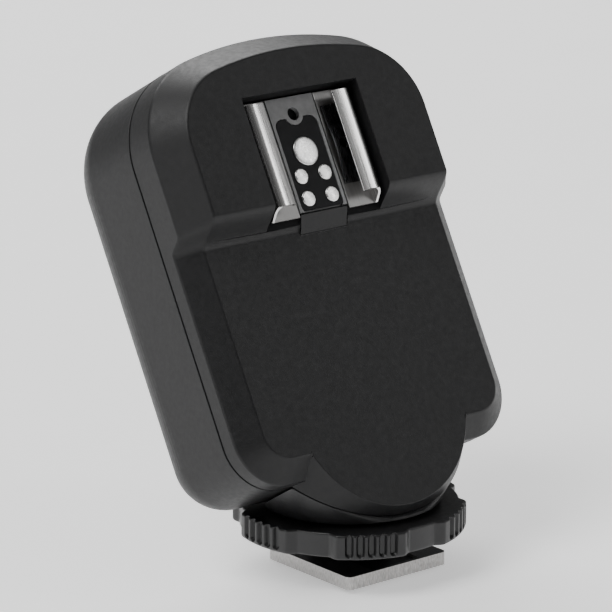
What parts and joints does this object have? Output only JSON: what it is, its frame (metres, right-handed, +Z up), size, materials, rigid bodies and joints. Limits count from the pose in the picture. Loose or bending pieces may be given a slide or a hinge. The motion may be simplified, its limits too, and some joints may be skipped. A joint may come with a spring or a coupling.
{
  "type": "wireless flash trigger",
  "caption": "Small wireless flash trigger with a leaning black casing, a metal shoe on its front and a locking foot with a lobed wheel beneath.",
  "frame": {"origin": "centre of the foot plate's underside, where the part stands in a camera's shoe", "axes": "+Z up out of the camera's shoe, +Y towards the foot's leading edge and the side with the controls, +X to the side with the slide switch"},
  "size_m": [0.0508, 0.0547, 0.0745],
  "materials": {
    "black_plastic": "fine satin texture",
    "dark_plastic": "satin",
    "grey_plastic": "matte",
    "rubber": "matte",
    "steel": "drawn, with fine lengthwise streaks",
    "black_steel": "black finish, bare at the edges",
    "contact_metal": "silver plate, lightly worn",
    "brass": "turned",
    "board": "solder mask",
    "glass": "clear",
    "cell": "plain wrap"
  },
  "bodies": {
    "casing": {"front_cover": "black_plastic", "rear_cover": "black_plastic", "foot_base": "black_plastic", "foot_stem": "dark_plastic", "foot_contact_block": "dark_plastic", "contact_plate": "dark_plastic", "sync_jack": "dark_plastic", "contact_frame": "grey_plastic", "hot_shoe_plate": "steel", "shoe_spring_left": "steel", "shoe_spring_right": "steel", "foot_screw_left": "steel", "foot_screw_right": "steel", "radio_module": "steel", "power_switch": "steel", "mode_switch": "steel", "channel_switch": "steel", "group_switch": "steel", "test_switch": "steel", "battery_contact_left": "steel", "battery_contact_right": "steel", "battery_spring": "steel", "foot_plate": "black_steel", "base_screw_left": "black_steel", "base_screw_right": "black_steel", "case_screw_1": "black_steel", "case_screw_2": "black_steel", "case_screw_3": "black_steel", "case_screw_4": "black_steel", "center_contact": "contact_metal", "signal_contact_1": "contact_metal", "signal_contact_2": "contact_metal", "signal_contact_3": "contact_metal", "signal_contact_4": "contact_metal", "main_board": "board", "antenna_strip": "board", "control_board": "board", "display_module": "glass", "display_window": "glass", "status_light": "glass", "battery": "cell"},
    "clamp_disc": {"pressure_disc": "dark_plastic", "locking_pin": "steel"},
    "wheel": {"locking_wheel": "dark_plastic", "wheel_insert": "brass"},
    "mode_button_body": {"mode_button": "rubber"},
    "channel_button_body": {"channel_button": "rubber"},
    "group_button_body": {"group_button": "rubber"},
    "test_button_body": {"test_button": "grey_plastic"},
    "power_knob_body": {"power_knob": "rubber"},
    "battery_door_body": {"battery_door": "black_plastic"},
    "sync_cover_body": {"sync_cover": "rubber"},
    "foot_pin_center_body": {"foot_pin_center": "contact_metal"},
    "foot_pin_1_body": {"foot_pin_1": "contact_metal"},
    "foot_pin_2_body": {"foot_pin_2": "contact_metal"},
    "foot_pin_3_body": {"foot_pin_3": "contact_metal"},
    "foot_pin_4_body": {"foot_pin_4": "contact_metal"}
  },
  "joints": [
    {"name": "disc_travel", "type": "slide", "parent": "casing", "child": "clamp_disc", "axis": [0, 0, 1], "range_m": [-0.0021, 0.00024]},
    {"name": "wheel_turn", "type": "hinge", "parent": "clamp_disc", "child": "wheel", "pos_m": [0, 0.0018, 0], "axis": [0, 0, 1], "range_deg": [-506, 58]},
    {"name": "mode_press", "type": "slide", "parent": "casing", "child": "mode_button_body", "axis": [0, -0.8746, 0.4848], "range_m": [0, 0.0006], "stiffness_N_per_m": 400, "springref_m": -0.0005},
    {"name": "channel_press", "type": "slide", "parent": "casing", "child": "channel_button_body", "axis": [0, -0.8746, 0.4848], "range_m": [0, 0.0006], "stiffness_N_per_m": 400, "springref_m": -0.0005},
    {"name": "group_press", "type": "slide", "parent": "casing", "child": "group_button_body", "axis": [0, -0.8746, 0.4848], "range_m": [0, 0.0006], "stiffness_N_per_m": 400, "springref_m": -0.0005},
    {"name": "test_press", "type": "slide", "parent": "casing", "child": "test_button_body", "axis": [0, -0.8746, 0.4848], "range_m": [0, 0.0006], "stiffness_N_per_m": 400, "springref_m": -0.0005},
    {"name": "power_slide", "type": "slide", "parent": "casing", "child": "power_knob_body", "axis": [0, 0.4848, 0.8746], "range_m": [0, 0.003]},
    {"name": "door_swing", "type": "hinge", "parent": "casing", "child": "battery_door_body", "pos_m": [0.0148, 0.01832, 0.02147], "axis": [0, -0.4848, -0.8746], "range_deg": [0, 100]},
    {"name": "cover_swing", "type": "hinge", "parent": "casing", "child": "sync_cover_body", "pos_m": [0.0249, 0.01592, 0.04252], "axis": [0, -0.8746, 0.4848], "range_deg": [0, 100]},
    {"name": "foot_pin_center_travel", "type": "slide", "parent": "casing", "child": "foot_pin_center_body", "axis": [0, 0, 1], "range_m": [0, 0.00045], "stiffness_N_per_m": 300, "springref_m": -0.0005},
    {"name": "foot_pin_1_travel", "type": "slide", "parent": "casing", "child": "foot_pin_1_body", "axis": [0, 0, 1], "range_m": [0, 0.00045], "stiffness_N_per_m": 300, "springref_m": -0.0005},
    {"name": "foot_pin_2_travel", "type": "slide", "parent": "casing", "child": "foot_pin_2_body", "axis": [0, 0, 1], "range_m": [0, 0.00045], "stiffness_N_per_m": 300, "springref_m": -0.0005},
    {"name": "foot_pin_3_travel", "type": "slide", "parent": "casing", "child": "foot_pin_3_body", "axis": [0, 0, 1], "range_m": [0, 0.00045], "stiffness_N_per_m": 300, "springref_m": -0.0005},
    {"name": "foot_pin_4_travel", "type": "slide", "parent": "casing", "child": "foot_pin_4_body", "axis": [0, 0, 1], "range_m": [0, 0.00045], "stiffness_N_per_m": 300, "springref_m": -0.0005}
  ],
  "couplings": [
    {"joint": "wheel_turn", "follows": "disc_travel", "rad_per_m": 4188.8}
  ]
}
